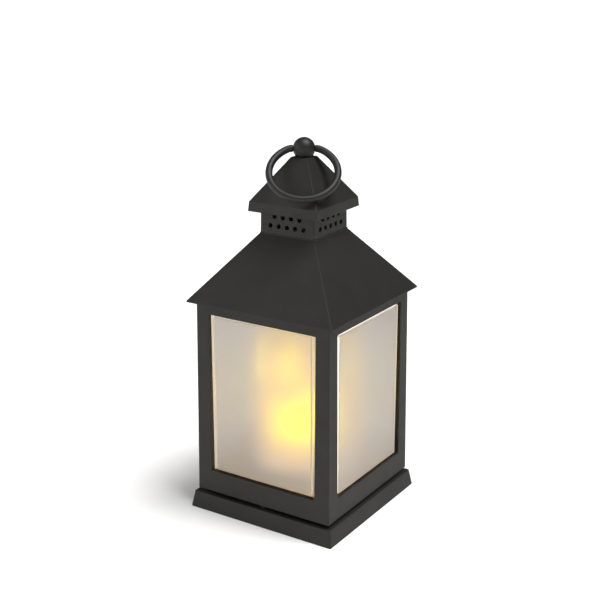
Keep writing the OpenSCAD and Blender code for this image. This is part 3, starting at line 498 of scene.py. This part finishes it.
polar = np.linspace(math.asin(spot_r / ball_r), math.pi - math.asin(spot_r / ball_r), 61)
ball_outline = np.concatenate([
    [(bore_x, bore_pole), (bore_x, bore_r), (spot_x, bore_r), (spot_x, spot_r - spot_round)],
    np.stack([ball_r * np.cos(polar), ball_r * np.sin(polar)], 1),
    [(-spot_x, spot_r - spot_round), (-spot_x, bore_r), (-bore_x, bore_r), (-bore_x, bore_pole)]])
ball_grid = turned(ball_outline[::-1], 96)
ball_grid[..., 2] = np.maximum(ball_grid[..., 2], ball_foot)
finial_spin = np.array(Matrix.Rotation(ring_turn, 3, "Z"))
ball_piece = skin_mesh("ball_skin", (ball_grid @ finial_spin.T + pivot) * mm)
# Black ABS rubbed smooth by hands: the same charcoal with a clearer sheen
satin_abs = moulded_plastic("satin_abs", "#151413", "#1b1a19", roughness=0.5, grain=0.6)
keep(ball_piece, satin_abs, "finial", "black_plastic", "ball_finial")

# Ring handle: an open ABS ring whose two ends bend in to pins that turn in the ball. It leans on the cap
# here, and swings up to be carried or hung. Its rod is 0.15 mm fuller in radius than the solid's.
ring_r, rod_r, pin_r = 20.4, 2.15, 1.3
pin_start, end_x, knuckle_x = 3.0, 6.46, 8.299
ring_step, ring_bend = 0.4, 3.2
shoulder_half, rod_round, round_length = 0.05, 0.3, 0.5


def ring_path(spacing, bend):
    """Centre line in the ring's plane: in along the pin's axis, round the big arc and back. It is resampled
    at equal spacing, and a running mean over the length bend rounds the two corners."""
    gap = math.asin(knuckle_x / ring_r)
    drop = math.sqrt(ring_r ** 2 - knuckle_x ** 2)
    sweep = np.linspace(gap, 2 * math.pi - gap, 400)
    arc = np.stack([ring_r * np.sin(sweep), drop - ring_r * np.cos(sweep)], 1)
    rough = np.concatenate([[(pin_start, 0.0)], arc, [(-pin_start, 0.0)]])
    length = np.concatenate([[0], np.cumsum(np.linalg.norm(np.diff(rough, axis=0), axis=1))])
    at = np.arange(0, length[-1], spacing)
    even = np.stack([np.interp(at, length, rough[:, k]) for k in (0, 1)], 1)
    reach = int(bend / spacing) // 2
    padded = np.concatenate([np.repeat(even[:1], reach, 0), even, np.repeat(even[-1:], reach, 0)])
    kernel = np.ones(2 * reach + 1) / (2 * reach + 1)
    smooth = np.stack([np.convolve(padded[:, k], kernel, "valid") for k in (0, 1)], 1)
    smooth[:reach], smooth[-reach:] = even[:reach], even[-reach:]
    return smooth


def tube(path, radius, steps):
    """Tube along a flat path: each ring is the point plus radius times (cos, sin) along the path's normal and
    the plane's normal."""
    forward = np.gradient(path, axis=0)
    forward /= np.linalg.norm(forward, axis=1, keepdims=True)
    sideways = np.stack([-forward[:, 1], forward[:, 0]], 1)
    angle = np.linspace(0, 2 * np.pi, steps, endpoint=False)[None, :, None]
    flat = path[:, None] + radius[:, None, None] * np.cos(angle) * sideways[:, None]
    lift = np.broadcast_to(radius[:, None, None] * np.sin(angle), flat.shape[:2] + (1,))
    return np.concatenate([flat, lift], -1)


ring_line = ring_path(ring_step, ring_bend)
from_end = np.minimum(np.arange(len(ring_line)), np.arange(len(ring_line))[::-1]) * ring_step
shoulder = end_x - pin_start
ring_radius = np.interp(
    from_end, [0, shoulder - shoulder_half, shoulder + shoulder_half, shoulder + round_length],
    [pin_r, pin_r, rod_r - rod_round, rod_r])
ring_flat = tube(ring_line, ring_radius, 24)
ring_local = np.stack([ring_flat[..., 0], ring_flat[..., 2], -ring_flat[..., 1]], -1)
ring_tilt = finial_spin @ np.array(Matrix.Rotation(-ring_lean, 3, "X"))
ring_piece = skin_mesh("ring_skin", (ring_local @ ring_tilt.T + pivot) * mm)
keep(ring_piece, satin_abs, "ring", "black_plastic", "ring_handle")

# Studio: a seamless sheet of white paper under a broad high light from the right and a weak one overhead.
# The walls are bright near the floor at the front left. Two boxes add soft lines of sheen along the edges,
# the left one more than the right.
floor_half = 12.0
floor_signs = np.array([(-1, -1, 0), (1, -1, 0), (1, 1, 0), (-1, 1, 0)])
floor_mesh = bpy.data.meshes.new("floor")
floor_mesh.from_pydata((floor_signs * floor_half).tolist(), [], [(0, 1, 2, 3)])
floor = placed("floor", floor_mesh)
# Matt white paper: no gloss, so that the floor stays even
paper = toned("white_paper", "#f6f6f6", "#f8f8f8", size=400, **{
    "Roughness": 0.9, "Specular IOR Level": 0.1})
floor_mesh.materials.append(paper)


def softbox(name, place, aim, width, power):
    """Square area light at place, turned to face aim."""
    lamp = bpy.data.lights.new(name, "AREA")
    lamp.size = width
    lamp.energy = power
    box = placed(name, lamp)
    box.location = place
    box.rotation_euler = (Vector(aim) - Vector(place)).to_track_quat("-Z", "Y").to_euler()


def disc_light(name, way, width, strength):
    """Far round light in the direction way, width degrees across."""
    lamp = bpy.data.lights.new(name, "SUN")
    lamp.energy = strength
    lamp.angle = math.radians(width)
    placed(name, lamp).rotation_euler = Vector(way).to_track_quat("Z", "Y").to_euler()


softbox("light_right", place=(1.3, -0.5, 0.7), aim=(0, 0, 0.12), width=0.8, power=0.5)
softbox("light_left", place=(-1.1, -1.0, 1.0), aim=(0, 0, 0.15), width=0.9, power=5)
disc_light("key", way=(0.357, 0.089, 0.930), width=31, strength=3.5)
disc_light("overhead", way=(0, 0, 1), width=12, strength=0.45)
world = bpy.data.worlds.new("studio")
bpy.context.scene.world = world
world.use_nodes = True
sky = world.node_tree
sky.nodes.clear()
# The walls are brightest near the floor and towards the front left; the ceiling is dark
front_left, wall_dim, wall_bright = (-0.6, -0.8, 0.0), 0.05, 2.2
wall_top, ceiling_share = 0.35, 0.08
sky_way = add(sky, "ShaderNodeTexCoord").outputs["Generated"]
sky_side = add(sky, "ShaderNodeVectorMath", {1: front_left}, {0: sky_way}, operation="DOT_PRODUCT")
sky_level = add(sky, "ShaderNodeMapRange",
                {"From Min": -1.0, "From Max": 1.0, "To Min": wall_dim, "To Max": wall_bright},
                {"Value": sky_side.outputs["Value"]})
sky_split = add(sky, "ShaderNodeSeparateXYZ", links={"Vector": sky_way})
sky_fall = add(sky, "ShaderNodeMapRange", {"From Max": wall_top, "To Min": 1.0, "To Max": ceiling_share},
               {"Value": sky_split.outputs["Z"]}, interpolation_type="SMOOTHSTEP")
sky_power = add(sky, "ShaderNodeMath", None, {0: sky_level.outputs["Result"], 1: sky_fall.outputs["Result"]},
                operation="MULTIPLY")
# Seen straight on, the backdrop is plain white, like the paper
sky_path = add(sky, "ShaderNodeLightPath")
sky_shown = add(sky, "ShaderNodeMix", {3: 1.0},
                {0: sky_path.outputs["Is Camera Ray"], 2: sky_power.outputs[0]})
sky_light = add(sky, "ShaderNodeBackground", {"Color": linear("#ffffff")},
                {"Strength": sky_shown.outputs[0]})
add(sky, "ShaderNodeOutputWorld", links={"Surface": sky_light.outputs["Background"]})

# Camera: a lens fitted to the lantern's edges in the picture, which is 600 pixels wide. It looks at a point
# on the lantern's upright axis, from the right of the front and a little above.
camera_azimuth, camera_height_angle = math.radians(32.699), math.radians(17.581)
camera_distance, aim_height = 736.21 * mm, 133.66 * mm
focal_px, centre_px, picture_px = 1183.13, 304.08, 600
to_camera = Vector((math.sin(camera_azimuth) * math.cos(camera_height_angle),
                    -math.cos(camera_azimuth) * math.cos(camera_height_angle), math.sin(camera_height_angle)))
lens_data = bpy.data.cameras.new("camera")
lens_data.sensor_width = 36.0
lens_data.lens = focal_px / picture_px * lens_data.sensor_width
lens_data.shift_x = (picture_px / 2 - centre_px) / picture_px
camera = placed("camera", lens_data)
camera.location = Vector((0, 0, aim_height)) + camera_distance * to_camera
camera.rotation_euler = to_camera.to_track_quat("Z", "Y").to_euler()
bpy.context.scene.camera = camera
bpy.context.scene.view_settings.view_transform = "Standard"
